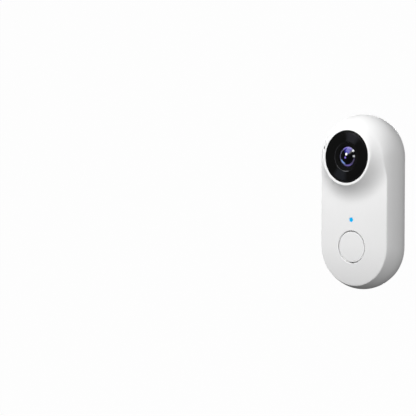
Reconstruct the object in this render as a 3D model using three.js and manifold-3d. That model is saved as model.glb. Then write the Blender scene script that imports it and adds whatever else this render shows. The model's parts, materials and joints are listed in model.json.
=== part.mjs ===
// Battery video doorbell on its wall plate, in millimetres, +Z up, front toward -Y.
// The origin is the centre of the adhesive pad's back face, where the doorbell meets the wall.
import * as THREE from "three";
import { mergeVertices } from "three/addons/utils/BufferGeometryUtils.js";
import Module from "manifold-3d";

const wasm = await Module();
wasm.setup();

// Driving sizes of the casing. Depths run back from the crease between face and sides.
const bellyHalf = 25;          // half width at the widest section
const arcOffset = 24.6;        // the two end arcs are centred this far above and below the middle
const bodyDepth = 17;          // crease to back edge
const bellyDepth = 8.5;        // crease to widest section
const noseDepth = 19.4;        // depth radius of the rounded front half
const backTaper = 1.5;         // how much the half width shrinks from the belly to the back
const backFillet = 1.5;
const faceCrown = 1.75;        // bulge of the face from its rim to its middle
const sideWall = 4.6;          // belly to the inside of the side wall
const faceWall = 1.8;          // crease plane to the inside of the face

// Raised camera eye.
const eyeRise = 0.9;           // eye centre above the upper arc centre
const windowRadius = 14.5;
const windowFront = -6.3;
const windowThick = 1.5;
const windowHole = 8;
const windowLedge = 0.6;
const lipWidth = 1.5;          // white ring around the window
const lipStand = 0.3;          // lip in front of the window
const eyeBlend = 11;           // width of the sweep from the lip down to the face
const eyeSweep = 2.2;
const lampBoardFront = -3.6;
const lampBoardThick = 0.8;

// Lens stack.
const lensRadius = 5.6;
const barrelHead = 7.4;
const barrelFront = -5;
const lensBulge = 1.3;          // front of the glass ahead of its edge
const barrelBack = 6.8;
const rearSeat = 2.95;          // front of the rear lens
const filterHalf = 5.2;
const threadRadius = 6;
const holderHalf = 8;
const holderFront = 3.2;
const cameraBoardFront = 9;
const cameraBoardThick = 1;
const cameraReach = 6.8;       // camera screws beyond the lens holder

// Rear cover and wall plate.
const coverThick = 1.8;
const coverLedge = 0.9;        // width of the step that the cover's seal lies on
const sealThick = 0.35;
const plateInset = 6;          // plate edge inside the belly's outline
const plateThick = 2.2;
const padThick = 0.8;
const padInset = 2;
const plateGap = 0.3;
const liftTravel = 6;
const hookWidth = 5;
const hookStem = 2;
const hookLip = 5;
const hookThick = 1;
const hookInset = 4.5;         // hook centre inside the plate's edge
const hookUpperZ = 22;
const wallScrewHeights = [30, -18];
const hookLowerDrop = 2;       // lower hooks below the lower arc centre

// Bell button and status lamp.
const buttonRadius = 8.7;
const buttonGroove = 0.5;
const buttonDrop = 0.5;        // button centre below the lower arc centre
const buttonTravel = 0.8;
const buttonFlange = 1.6;
const flangeThick = 0.8;
const stemRadius = 1.2;
const membraneThick = 0.2;
const lampRadius = 1.2;
const lampRise = 15.3;          // status light above the bell button's centre

// Port, flap and reset key.
const portX = -2;
const portWidth = 8.9;
const portHeight = 3.2;
const portLength = 7.2;
const portBoardThick = 1;
const resetX = 6.2;
const resetRadius = 1;
const resetTravel = 0.3;
const flapHalf = 8.5;
const flapHeight = 4.8;
const flapThick = 1.5;

// Boards, battery, sound and screws.
const boardFront = 5;
const boardThick = 1.2;
const boardInset = 3.9;        // board edge inside the side wall
const boardTop = 9;
const earInset = 1.5;
const earDrop = 6.5;
const partHeight = 1.6;        // tallest piece on the back of the board
const batteryInset = 4.2;
const batteryTop = 3;
const batteryRise = 3;          // battery above the end wall beside it
const batteryRoom = 2;         // between the battery and the cover, for the hooks
const bossRadius = 2;
const screwRadius = 0.9;
const screwHead = 1.8;
const screwHeadThick = 0.9;
const micReach = 1.1;          // microphone beyond the lip
const micHole = 0.9;
const micTurn = 18.8;          // degrees above the level of the eye
const micFlexInset = 1.8;      // from the inside of the side wall
const micFlexWidth = 1.5;
const micPocket = 2.6;
const speakerZ = -8;
const speakerLength = 20;
const speakerFront = 3.6;
const speakerRear = 1.1;        // between the speaker and the cover
const speakerDepth = 2.8;
const slotPitch = 3.2;
const slotWidth = 1.3;
const slotHeight = 6.4;

// Clearances.
const seat = 0.05;             // between pieces that rest on each other
const snug = 0.15;             // around a piece that sits in its hole
const slip = 0.3;              // around pieces that slide or drop in

// Places that follow from the sizes.
const backHalf = bellyHalf - backTaper;
const cavityHalf = bellyHalf - sideWall;
const creaseHalf = bellyHalf * Math.sqrt(1 - (bellyDepth / noseDepth) ** 2);
const coverFront = bodyDepth - coverThick;
const coverBoard = coverFront - batteryRoom;
const speakerHeight = coverFront - speakerRear - speakerFront;
const speakerY = speakerFront + speakerHeight / 2;
const plateHalf = bellyHalf - plateInset;
const hookX = plateHalf - hookInset;
const hookLowerZ = -arcOffset - hookLowerDrop;
const unitFront = -(padThick + plateThick + plateGap + bodyDepth);
const eyeZ = arcOffset + eyeRise;
const bellZ = -arcOffset - buttonDrop;
const lampZ = bellZ + lampRise;
const lipHeight = lipStand - windowFront;
const lipOuter = windowRadius + lipWidth;
const micX = -(lipOuter + micReach) * Math.cos(THREE.MathUtils.degToRad(micTurn));
const micZ = eyeZ + (lipOuter + micReach) * Math.sin(THREE.MathUtils.degToRad(micTurn));
const windowBack = windowFront + windowThick;
const boardHalf = cavityHalf - boardInset;
const earHalf = cavityHalf - earInset;
const boardBack = boardFront + boardThick;
const partsBack = boardBack + partHeight;
const portBoardFront = coverBoard - portBoardThick;
const portY = portBoardFront - portHeight / 2;
const flapFront = portY - flapHeight / 2;
const flapBack = portY + flapHeight / 2;
const flapInner = sideHalf(flapBack) - flapThick;
const socketMouth = endZ(portX - portWidth / 2, flapInner) + 0.2;
const resetEnd = endZ(resetX + resetRadius, flapInner) + 0.2;
const portBoardBottom = endZ(resetX + 1.8, cavityHalf) + 0.6;
const portBoardTop = portBoardBottom + 6.8;
const batteryHalf = cavityHalf - batteryInset;
const batteryBottom = endZ(batteryHalf, cavityHalf) + batteryRise;
const batteryFront = partsBack + 0.2;
const flangeFront = faceWall + 0.2;
const membraneFront = flangeFront + flangeThick + buttonTravel + snug / 2;
const speakerX = -cavityHalf + 0.5;
const coverScrewX = 0.64 * cavityHalf;
const coverScrewZ = arcOffset + Math.sqrt((cavityHalf - bossRadius + 1) ** 2 - coverScrewX ** 2);
const coverScrews = [
  [-coverScrewX, coverScrewZ], [coverScrewX, coverScrewZ],
  [-coverScrewX, -coverScrewZ], [coverScrewX, -coverScrewZ],
];
const boardScrewX = boardHalf - bossRadius;
const boardScrews = [[-boardScrewX, boardTop - 3.2], [boardScrewX, boardTop - 3.2]];
const cameraScrewX = holderHalf + cameraReach;
const cameraScrews = [[-cameraScrewX, eyeZ], [cameraScrewX, eyeZ]];
const hooks = [[-hookX, hookUpperZ], [hookX, hookUpperZ], [-hookX, hookLowerZ], [hookX, hookLowerZ]];
const roundSteps = 20;
const pillSteps = 16;

// ---- solids ----

function solid(geometry) {
  const plain = geometry.index ? geometry.clone() : geometry;
  plain.deleteAttribute("normal");
  plain.deleteAttribute("uv");
  const merged = mergeVertices(plain, 1e-4);
  const points = merged.attributes.position.array;
  const triangles = [];
  let volume = 0;
  for (let i = 0; i < merged.index.count; i += 3) {
    const [a, b, c] = [0, 1, 2].map((k) => merged.index.getX(i + k));
    if (a === b || b === c || a === c) continue;
    triangles.push(a, b, c);
    const [p, q, r] = [a, b, c].map((k) => new THREE.Vector3().fromArray(points, 3 * k));
    volume += p.dot(q.cross(r));
  }
  if (volume < 0) triangles.reverse();
  const mesh = new wasm.Mesh({
    numProp: 3,
    vertProperties: Float32Array.from(points),
    triVerts: Uint32Array.from(triangles),
  });
  return new wasm.Manifold(mesh);
}

function cut(body, ...tools) {
  return tools.reduce((left, tool) => left.subtract(tool), body);
}

function join(body, ...others) {
  return others.reduce((whole, other) => whole.add(other), body);
}

function block(x0, x1, y0, y1, z0, z1) {
  const box = new THREE.BoxGeometry(x1 - x0, y1 - y0, z1 - z0);
  return solid(box.translate((x0 + x1) / 2, (y0 + y1) / 2, (z0 + z1) / 2));
}

// A disc or rod along Y.
function rod(x, z, radius, y0, y1, steps = roundSteps) {
  const cylinder = new THREE.CylinderGeometry(radius, radius, y1 - y0, steps);
  return solid(cylinder.translate(x, (y0 + y1) / 2, z));
}

// A turned piece about an axis along Y; the profile lists [radius, y].
function turned(x, z, profile, steps = roundSteps) {
  const points = profile.map(([radius, y]) => new THREE.Vector2(radius, y));
  return solid(new THREE.LatheGeometry(points, steps).translate(x, 0, z));
}

function ring(x, z, inner, outer, y0, y1) {
  return turned(x, z, [[inner, y0], [outer, y0], [outer, y1], [inner, y1], [inner, y0]]);
}

// A flat outline in X and Z, given thickness along Y.
function slab(shape, y0, y1, steps = pillSteps) {
  const settings = { depth: y1 - y0, bevelEnabled: false, curveSegments: steps };
  const geometry = new THREE.ExtrudeGeometry(shape, settings);
  return solid(geometry.rotateX(Math.PI / 2).translate(0, y1, 0));
}

function pill(half) {
  const shape = new THREE.Shape();
  shape.absarc(0, arcOffset, half, 0, Math.PI, false);
  shape.absarc(0, -arcOffset, half, Math.PI, 2 * Math.PI, false);
  shape.closePath();
  return shape;
}

// A strip that follows a bent line in Y and Z, given width along X.
function ribbon(x0, x1, thick, line) {
  const settings = { depth: x1 - x0, bevelEnabled: false };
  const sides = [[], []];
  line.forEach(([y, z], i) => {
    const [py, pz] = line[Math.max(i - 1, 0)];
    const [ny, nz] = line[Math.min(i + 1, line.length - 1)];
    const length = Math.hypot(ny - py, nz - pz);
    const across = [(-(nz - pz) / length) * thick / 2, ((ny - py) / length) * thick / 2];
    sides[0].push(new THREE.Vector2(y + across[0], z + across[1]));
    sides[1].unshift(new THREE.Vector2(y - across[0], z - across[1]));
  });
  const geometry = new THREE.ExtrudeGeometry(new THREE.Shape(sides.flat()), settings);
  const frame = new THREE.Matrix4().set(0, 0, 1, x0, 1, 0, 0, 0, 0, 1, 0, 0, 0, 0, 0, 1);
  return solid(geometry.applyMatrix4(frame));
}

function wire(points, radius) {
  const path = new THREE.CatmullRomCurve3(points.map((p) => new THREE.Vector3(...p)));
  const section = new THREE.Shape();
  section.absarc(0, 0, radius, 0, 2 * Math.PI, false);
  const settings = { steps: 12, curveSegments: 4, bevelEnabled: false, extrudePath: path };
  return solid(new THREE.ExtrudeGeometry(section, settings));
}

// A skin over rings of equal point counts, closed by a fan at each end.
function skin(rings) {
  const count = rings[0].length;
  const positions = rings.flat(2);
  const faces = [];
  for (let i = 0; i + 1 < rings.length; i += 1) {
    for (let j = 0; j < count; j += 1) {
      const next = (j + 1) % count;
      const [a, b, c, d] = [i * count + j, i * count + next, (i + 1) * count + next, (i + 1) * count + j];
      faces.push(a, b, c, a, c, d);
    }
  }
  [0, rings.length - 1].forEach((i) => {
    const centre = [0, 1, 2].map((k) => rings[i].reduce((sum, p) => sum + p[k], 0) / count);
    const hub = positions.length / 3;
    positions.push(...centre);
    for (let j = 0; j < count; j += 1) {
      const next = (j + 1) % count;
      if (i === 0) faces.push(hub, i * count + next, i * count + j);
      else faces.push(hub, i * count + j, i * count + next);
    }
  });
  const geometry = new THREE.BufferGeometry();
  geometry.setAttribute("position", new THREE.Float32BufferAttribute(positions, 3));
  geometry.setIndex(faces);
  return solid(geometry);
}

// ---- casing ----

function sideHalf(depth) {
  if (depth < bellyDepth) return bellyHalf * Math.sqrt(1 - ((bellyDepth - depth) / noseDepth) ** 2);
  const along = (depth - bellyDepth) / (bodyDepth - backFillet - bellyDepth);
  return bellyHalf - (bellyHalf - backHalf) * along ** 2;
}

// Where a pill of this half width ends at the bottom, at a place across its width.
function endZ(x, half) {
  return -arcOffset - Math.sqrt(half ** 2 - x ** 2);
}

function pillRing(half, y) {
  const points = [];
  [arcOffset, -arcOffset].forEach((centre, end) => {
    for (let i = 0; i <= pillSteps; i += 1) {
      const angle = Math.PI * (end + i / pillSteps);
      points.push([half * Math.cos(angle), y, centre + half * Math.sin(angle)]);
    }
  });
  return points;
}

function pebble() {
  const levels = [];
  const frontLevels = 5;
  const bellyLevels = 4;
  const backLevels = 3;
  for (let i = 0; i <= frontLevels; i += 1) {
    const y = -(lipHeight + 0.5) * (1 - i / frontLevels);
    levels.push(pillRing(sideHalf(y), y));
  }
  for (let i = 1; i <= bellyLevels; i += 1) {
    const y = (i / bellyLevels) * bellyDepth;
    levels.push(pillRing(sideHalf(y), y));
  }
  for (let i = 1; i <= backLevels; i += 1) {
    const y = bellyDepth + (i / backLevels) * (bodyDepth - backFillet - bellyDepth);
    levels.push(pillRing(sideHalf(y), y));
  }
  for (let i = 1; i <= backLevels; i += 1) {
    const angle = (i / backLevels) * (Math.PI / 2);
    const y = bodyDepth - backFillet * (1 - Math.sin(angle));
    levels.push(pillRing(backHalf - backFillet * (1 - Math.cos(angle)), y));
  }
  return skin(levels);
}

// Height of the face in front of the crease plane.
function faceHeight(x, z) {
  const off = Math.hypot(x, Math.max(0, Math.abs(z) - arcOffset));
  const crown = faceCrown * Math.max(0, 1 - (off / creaseHalf) ** 2);
  const away = Math.hypot(x, z - eyeZ);
  const along = Math.min(Math.max((away - lipOuter) / eyeBlend, 0), 1);
  return crown + (lipHeight - crown) * (1 - along) ** eyeSweep;
}

// Everything in front of the face, as a solid to cut away.
function faceCutter() {
  const reach = 2 * arcOffset + 2 * bellyHalf;
  const spokes = 48;
  const blendRings = [0, 0.1, 0.25, 0.42, 0.65, 1].map((share) => lipOuter + share * eyeBlend);
  const endRings = [0, 0.25, 0.5, 0.75, 1.02].map((share) => eyeZ + arcOffset + share * creaseHalf);
  const radii = [reach, ...endRings.reverse(), ...blendRings.reverse()];
  const circle = (radius, height) => {
    const points = [];
    for (let i = 0; i < spokes; i += 1) {
      const angle = (2 * Math.PI * i) / spokes;
      const [x, z] = [radius * Math.cos(angle), eyeZ + radius * Math.sin(angle)];
      points.push([x, -height(x, z), z]);
    }
    return points;
  };
  const front = circle(reach, () => 4 * lipHeight);
  return skin([front, ...radii.map((radius) => circle(radius, faceHeight))]);
}

function flapSolid(clearance, inner) {
  const reach = arcOffset + bellyHalf + 1;
  const piece = block(-flapHalf - clearance, flapHalf + clearance, flapFront - clearance,
    flapBack + clearance, -reach, -arcOffset - bellyHalf / 2);
  return cut(piece, slab(pill(inner), 0, bodyDepth, 32));
}

function frontHousing() {
  const deep = bodyDepth + 1;
  const boardPosts = boardScrews.map(([x, z]) => rod(x, z, bossRadius, faceWall - 0.5, boardFront - seat));
  const cameraPosts = cameraScrews.map(
    ([x, z]) => rod(x, z, bossRadius, faceWall - 0.5, cameraBoardFront - seat));
  const coverPosts = coverScrews.map(
    ([x, z]) => rod(x, z, bossRadius, faceWall - 0.5, coverFront - sealThick));
  const wallInner = buttonRadius + buttonFlange + 0.4;
  const buttonWall = ring(0, bellZ, wallInner, wallInner + 1.6, faceWall - 0.5, membraneFront - seat);
  let body = cut(pebble(), faceCutter());
  body = cut(body, slab(pill(cavityHalf), faceWall, deep));
  body = join(body, ...boardPosts, ...cameraPosts, ...coverPosts, buttonWall);
  body = cut(body, slab(pill(cavityHalf + coverLedge), coverFront - sealThick, deep));
  // Camera eye: window seat, lamp board seat and the chamber behind them.
  body = cut(body,
    rod(0, eyeZ, windowRadius + snug, -deep, windowBack + seat, 40),
    rod(0, eyeZ, windowRadius - windowLedge, -deep, lampBoardFront + lampBoardThick + seat, 32),
    rod(0, eyeZ, windowRadius - 3 * windowLedge, -deep, faceWall + seat, 32));
  // Microphone pocket and its sound hole.
  body = cut(body,
    rod(micX, micZ, micPocket, -1.5, faceWall + seat),
    rod(micX, micZ, micHole, -deep, 0, 16));
  // Button, lamp, speaker slots, port and reset key.
  body = cut(body,
    rod(0, bellZ, buttonRadius + buttonGroove, -deep, faceWall + seat, 36),
    rod(0, lampZ, lampRadius + snug, -deep, faceWall + seat, 16),
    rod(0, lampZ, lampRadius + 0.9, faceWall, deep, 16));
  for (let i = -2; i <= 2; i += 1) {
    const z = speakerZ + slotPitch * i;
    body = cut(body, block(-bellyHalf - 1, -cavityHalf + 1, speakerY - slotHeight / 2,
      speakerY + slotHeight / 2, z - slotWidth / 2, z + slotWidth / 2));
  }
  body = cut(body, flapSolid(0.25, flapInner - 0.25));
  body = cut(body,
    block(portX - portWidth / 2 - 0.25, portX + portWidth / 2 + 0.25, portY - portHeight / 2 - 0.2,
      portY + portHeight / 2 + 0.2, -arcOffset - bellyHalf, -arcOffset - cavityHalf / 2),
    upright(resetX, portY, resetRadius + 0.25, -arcOffset - bellyHalf, -arcOffset - cavityHalf / 2));
  const pilots = [
    ...boardScrews.map(([x, z]) => rod(x, z, screwRadius + 0.1, faceWall + 0.3, deep, 12)),
    ...cameraScrews.map(([x, z]) => rod(x, z, screwRadius + 0.1, faceWall + 0.8, deep, 12)),
    ...coverScrews.map(([x, z]) => rod(x, z, screwRadius + 0.1, coverFront - 7, deep, 12)),
  ];
  return cut(body, ...pilots);
}

// A rod along Z.
function upright(x, y, radius, z0, z1) {
  const cylinder = new THREE.CylinderGeometry(radius, radius, z1 - z0, 16);
  return solid(cylinder.rotateX(Math.PI / 2).translate(x, y, (z0 + z1) / 2));
}

function rearCover() {
  let cover = slab(pill(cavityHalf + coverLedge - slip), coverFront, bodyDepth);
  const across = hookWidth / 2 + slip;
  hooks.forEach(([x, z]) => {
    const bottom = z - hookStem - liftTravel - slip;
    cover = cut(cover, block(x - across, x + across, 0, 2 * bodyDepth, bottom, z + seat));
  });
  coverScrews.forEach(([x, z]) => {
    const hole = rod(x, z, screwRadius + 0.2, 0, 2 * bodyDepth, 12);
    cover = cut(cover, hole, rod(x, z, screwHead + 0.2, bodyDepth - 1.05, 2 * bodyDepth));
  });
  return cover;
}

function housingSeal() {
  const outer = slab(pill(cavityHalf + coverLedge - 0.1), coverFront - sealThick + seat, coverFront - seat);
  return cut(outer, slab(pill(cavityHalf + 0.1), 0, bodyDepth));
}

// A screw driven toward -Y, head at the back.
function screw(x, z, headBack, headThick, length) {
  const under = headBack - headThick;
  const tip = under - length;
  const profile = [[0, tip], [0.4, tip], [screwRadius, tip + 0.7], [screwRadius, under],
    [screwHead, under], [screwHead, headBack - 0.2], [screwHead - 0.2, headBack], [0, headBack]];
  const body = turned(x, z, profile, 12);
  const reach = 0.7 * screwHead;
  return cut(body, block(x - reach, x + reach, headBack - 0.45, headBack + 1, z - 0.25, z + 0.25));
}

// ---- camera ----

function cameraWindow() {
  const profile = [[windowHole, windowFront], [windowRadius - 0.9, windowFront],
    [windowRadius - 0.9, windowFront - 0.2], [windowRadius, windowFront - 0.2],
    [windowRadius, windowBack], [windowHole, windowBack], [windowHole, windowFront]];
  return turned(0, eyeZ, profile, 40);
}

function lensHood() {
  const outer = windowHole - snug;
  const profile = [[outer - 0.35, windowFront], [outer, windowFront], [outer, barrelFront - seat],
    [lensRadius + slip, barrelFront - seat], [lensRadius + slip, barrelFront - 0.9],
    [outer - 0.35, windowFront]];
  return turned(0, eyeZ, profile, 32);
}

function domePoints(radius, edge, sag, steps) {
  const curve = (radius ** 2 + sag ** 2) / (2 * sag);
  const points = [];
  for (let i = 0; i <= steps; i += 1) {
    const r = (radius * i) / steps;
    points.push([r, edge - sag + curve - Math.sqrt(curve ** 2 - r ** 2)]);
  }
  return points;
}

function frontLens() {
  const seatY = barrelFront + 1.4 - seat;
  const dome = domePoints(lensRadius, barrelFront - 0.1, lensBulge, 5);
  return turned(0, eyeZ, [...dome, [lensRadius, seatY], [0, seatY]]);
}

function lensBarrel() {
  const bore = lensRadius + snug;
  const seatY = barrelFront + 1.4;
  const rearBore = threadRadius - 1.7;
  const stop = rearBore - 0.7;
  const profile = [[bore, barrelFront], [barrelHead, barrelFront], [barrelHead, barrelFront + 3.4],
    [threadRadius, barrelFront + 3.4], [threadRadius, barrelBack], [rearBore, barrelBack],
    [rearBore, rearSeat], [stop, rearSeat], [stop, seatY], [bore, seatY], [bore, barrelFront]];
  return turned(0, eyeZ, profile);
}

function rearLens() {
  const radius = threadRadius - 1.7 - snug;
  const front = rearSeat + seat;
  const profile = [[0, front - 0.4], [radius - 0.85, front], [radius, front], [radius, front + 2],
    [0, front + 2.8]];
  return turned(0, eyeZ, profile);
}

function lensHolder() {
  const body = block(-holderHalf, holderHalf, holderFront, cameraBoardFront - seat,
    eyeZ - holderHalf, eyeZ + holderHalf);
  const room = filterHalf + slip;
  return cut(body, rod(0, eyeZ, threadRadius + snug, 0, barrelBack + 0.1),
    block(-room, room, barrelBack + 0.1, 2 * bodyDepth, eyeZ - room, eyeZ + room));
}

function cameraBoard() {
  const back = cameraBoardFront + cameraBoardThick;
  const half = holderHalf + 0.5;
  const ear = cameraScrewX + bossRadius + 0.1;
  const board = join(block(-half, half, cameraBoardFront, back, eyeZ - half, eyeZ + half),
    block(-ear, ear, cameraBoardFront, back, eyeZ - 2.6, eyeZ + 2.6));
  const holes = cameraScrews.map(([x, z]) => rod(x, z, screwRadius + 0.2, 0, bodyDepth, 12));
  return cut(board, ...holes);
}

function lampBoard() {
  return ring(0, eyeZ, windowHole + 0.4, windowRadius - windowLedge - slip, lampBoardFront,
    lampBoardFront + lampBoardThick);
}

function lampChip(angle, half, height) {
  const radius = (windowHole + windowRadius - 0.5) / 2;
  const [x, z] = [radius * Math.cos(angle), eyeZ + radius * Math.sin(angle)];
  return block(x - half, x + half, lampBoardFront - height, lampBoardFront - seat, z - half, z + half);
}

// ---- boards, battery and sound ----

function mainBoard() {
  const shape = new THREE.Shape();
  shape.moveTo(earHalf, boardTop);
  shape.lineTo(-earHalf, boardTop);
  shape.lineTo(-earHalf, boardTop - earDrop);
  shape.lineTo(-boardHalf, boardTop - earDrop);
  shape.absarc(0, -arcOffset - 0.4, boardHalf, Math.PI, 2 * Math.PI, false);
  shape.lineTo(boardHalf, boardTop - earDrop);
  shape.lineTo(earHalf, boardTop - earDrop);
  shape.closePath();
  const holes = boardScrews.map(([x, z]) => rod(x, z, screwRadius + 0.2, 0, bodyDepth, 12));
  const notch = block(portX - portWidth / 2 - slip, portX + portWidth / 2 + slip, 0, bodyDepth,
    -arcOffset - bellyHalf, socketMouth + portLength + slip);
  return cut(slab(shape, boardFront, boardBack), notch, ...holes);
}

function portBoard() {
  const board = block(-8, 8, portBoardFront, coverBoard, portBoardBottom, portBoardTop);
  const header = block(-4, 4, boardBack + seat, portBoardFront + 0.1, portBoardTop - 2.6, portBoardTop - 0.6);
  return join(board, header);
}

function portSocket() {
  const [x0, x1] = [portX - portWidth / 2, portX + portWidth / 2];
  const [y0, y1] = [portY - portHeight / 2, portBoardFront - seat];
  const back = socketMouth + portLength;
  const shell = block(x0, x1, y0, y1, socketMouth, back);
  const mouth = block(x0 + 0.35, x1 - 0.35, y0 + 0.35, y1 - 0.35, socketMouth - 1, back - 1.2);
  const tongue = block(x0 + 1.2, x1 - 1.2, portY - 0.35, portY + 0.35, socketMouth + 0.6, back - 0.7);
  return join(cut(shell, mouth), tongue);
}

// A box centred on the speaker's axis, from one depth in X to another.
function speakerBox(x0, x1, halfY, halfZ) {
  return block(x0, x1, speakerY - halfY, speakerY + halfY, speakerZ - halfZ, speakerZ + halfZ);
}

function speakerFrame() {
  const [halfY, halfZ] = [speakerHeight / 2, speakerLength / 2];
  const body = speakerBox(speakerX, speakerX + speakerDepth, halfY, halfZ);
  return cut(body,
    speakerBox(speakerX - 1, speakerX + 0.6, halfY - 1.05, halfZ - 1.2),
    speakerBox(speakerX - 1, speakerX + speakerDepth - 0.4, halfY - 2.05, halfZ - 3));
}

function speakerGasket() {
  const [halfY, halfZ] = [speakerHeight / 2, speakerLength / 2];
  const body = speakerBox(-cavityHalf + seat, speakerX - seat, halfY, halfZ);
  return cut(body, speakerBox(-bellyHalf, 0, halfY - 1.05, halfZ - 1.2));
}

function speakerCone() {
  const [halfY, halfZ] = [speakerHeight / 2, speakerLength / 2];
  const sheet = speakerBox(speakerX + 0.3, speakerX + 0.55, halfY - 1.25, halfZ - 1.4);
  return join(sheet, speakerBox(speakerX + 0.1, speakerX + 0.4, halfY - 3.25, halfZ - 4.5));
}

function speakerMagnet() {
  const back = speakerX + speakerDepth - 0.45;
  return speakerBox(back - 1.2, back, speakerHeight / 2 - 2.75, speakerLength / 2 - 5);
}

// ---- keys and flap ----

function bellButton() {
  const face = -faceCrown + 0.1;
  const profile = [[0, face], [buttonRadius - 0.35, face], [buttonRadius, face + 0.35],
    [buttonRadius, flangeFront], [buttonRadius + buttonFlange, flangeFront],
    [buttonRadius + buttonFlange, flangeFront + flangeThick], [0, flangeFront + flangeThick]];
  return turned(0, bellZ, profile, 36);
}

function bellSwitch() {
  const front = membraneFront + membraneThick + snug;
  const body = block(-3, 3, front, boardFront - seat, bellZ - 3, bellZ + 3);
  return cut(body, rod(0, bellZ, stemRadius + slip, 0, boardFront - snug, 16));
}

function lightPipe() {
  const face = -faceCrown + 0.05;
  const profile = [[0, face], [lampRadius, face], [lampRadius, faceWall + seat],
    [lampRadius + 0.6, faceWall + seat], [lampRadius + 0.6, faceWall + 0.6],
    [lampRadius, faceWall + 0.6], [lampRadius, boardFront - 0.8], [0, boardFront - 0.8]];
  return turned(0, lampZ, profile, 16);
}

function portCover() {
  const skinned = flapSolid(0, flapInner).intersect(pebble());
  const plug = block(portX - portWidth / 2 + 0.35, portX + portWidth / 2 - 0.35,
    portY - portHeight / 2 + 0.35, portY + portHeight / 2 - 0.35, socketMouth - 1.6, socketMouth - 0.15);
  return join(skinned, plug);
}

function resetKey() {
  return join(upright(resetX, portY, resetRadius, resetEnd, portBoardBottom - 0.1),
    upright(resetX, portY, resetRadius + 0.6, portBoardBottom - 0.4, portBoardBottom));
}

function resetSwitch() {
  const front = portBoardBottom + seat;
  const body = block(resetX - 1.8, resetX + 1.8, portY - 1.3, portBoardFront - seat, front, front + 3.1);
  return cut(body, upright(resetX, portY, resetRadius + 0.8, front - 1, front + resetTravel + snug));
}

// ---- wall parts ----

function wallPlate() {
  const front = -padThick - plateThick;
  let plate = slab(pill(plateHalf), front, -padThick);
  const inner = unitFront + coverFront - slip;
  hooks.forEach(([x, z]) => {
    const [x0, x1] = [x - hookWidth / 2, x + hookWidth / 2];
    const stem = block(x0, x1, inner - hookThick, front + 0.5, z - hookStem, z);
    const lip = block(x0, x1, inner - hookThick, inner, z - hookStem, z + hookLip);
    plate = join(plate, stem, lip);
  });
  wallScrewHeights.forEach((z) => {
    const sink = [[0, front - 1], [4.2, front - 1], [4.2, front], [2.2, front + 2], [2.2, 1], [0, 1]];
    plate = cut(plate, turned(0, z, sink));
  });
  return plate;
}

// ---- materials and assembly ----

function finish(color, roughness, metalness = 0) {
  return new THREE.MeshStandardMaterial({ color, roughness, metalness });
}

const materials = {
  whitePlastic: () => finish("#f2f2f0", 0.45),
  greyPlastic: () => finish("#8d9093", 0.6),
  blackGloss: () => finish("#08090a", 0.15),
  blackPlastic: () => finish("#15171a", 0.55),
  blackRubber: () => finish("#1d1e20", 0.85),
  whiteRubber: () => finish("#e6e6e3", 0.8),
  foam: () => finish("#3a3a3c", 0.95),
  glass: () => finish("#3b3560", 0.05),
  greenBoard: () => finish("#1f5a3a", 0.5),
  steel: () => finish("#c3c6c9", 0.35, 1),
  blackAnodised: () => finish("#1b1c1f", 0.4, 0.8),
  gold: () => finish("#b8873a", 0.5, 0.4),
  silverFoil: () => finish("#a9adb1", 0.4, 0.7),
  redWire: () => finish("#b3201c", 0.5),
  blackWire: () => finish("#16161a", 0.5),
  blueLamp: () => finish("#00b0f0", 0.3),
  chip: () => finish("#222428", 0.6),
};

const doorbell = new THREE.Group();
const unit = new THREE.Group();
unit.position.y = unitFront;
doorbell.add(unit);

function add(group, name, material, body) {
  const mesh = body.getMesh();
  const geometry = new THREE.BufferGeometry();
  geometry.setAttribute("position", new THREE.BufferAttribute(mesh.vertProperties, mesh.numProp));
  geometry.setIndex(new THREE.BufferAttribute(mesh.triVerts, 1));
  const piece = new THREE.Mesh(geometry, materials[material]());
  piece.name = name;
  group.add(piece);
}

add(doorbell, "adhesive_pad", "foam", slab(pill(plateHalf - padInset), -padThick + seat, 0));
add(doorbell, "wall_plate", "greyPlastic", wallPlate());

add(unit, "front_housing", "whitePlastic", frontHousing());
add(unit, "rear_cover", "greyPlastic", rearCover());
add(unit, "housing_seal", "blackRubber", housingSeal());
coverScrews.forEach(([x, z], i) => {
  add(unit, `housing_screw_${i + 1}`, "steel", screw(x, z, bodyDepth - 0.1, screwHeadThick, 6));
});

add(unit, "camera_window", "blackGloss", cameraWindow());
add(unit, "lens_hood", "blackRubber", lensHood());
add(unit, "front_lens", "glass", frontLens());
add(unit, "lens_barrel", "blackAnodised", lensBarrel());
add(unit, "rear_lens", "glass", rearLens());
add(unit, "lens_holder", "blackPlastic", lensHolder());
add(unit, "ir_filter", "glass", block(-filterHalf, filterHalf, barrelBack + snug,
  barrelBack + 0.6, eyeZ - filterHalf, eyeZ + filterHalf));
add(unit, "image_sensor", "chip", block(-3.8, 3.8, cameraBoardFront - 1.05,
  cameraBoardFront - seat, eyeZ - 3.2, eyeZ + 3.2));
const cameraBack = cameraBoardFront + cameraBoardThick;
add(unit, "camera_board", "greenBoard", cameraBoard());
cameraScrews.forEach(([x, z], i) => {
  const seatHead = cameraBack + screwHeadThick + seat;
  add(unit, `camera_screw_${i + 1}`, "steel", screw(x, z, seatHead, screwHeadThick, 5));
});
const cameraLine = [[cameraBack + snug, eyeZ - 3], [cameraBack + snug, eyeZ - 12],
  [boardBack + snug, boardTop + 0.8], [boardBack + snug, boardTop - 4]];
add(unit, "camera_flex", "gold", ribbon(-3, 3, 0.15, cameraLine));
add(unit, "lamp_board", "greenBoard", lampBoard());
[45, 135, 225, 315].forEach((degrees, i) => {
  add(unit, `ir_lamp_${i + 1}`, "chip", lampChip(THREE.MathUtils.degToRad(degrees), 1.2, 0.8));
});
add(unit, "light_sensor", "chip", lampChip(Math.PI / 2, 0.8, 0.7));
const lampLine = [[lampBoardFront + lampBoardThick + snug, eyeZ - 11.6],
  [boardFront - 0.2, eyeZ - 11.6], [boardFront - 0.2, boardTop - 4]];
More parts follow.
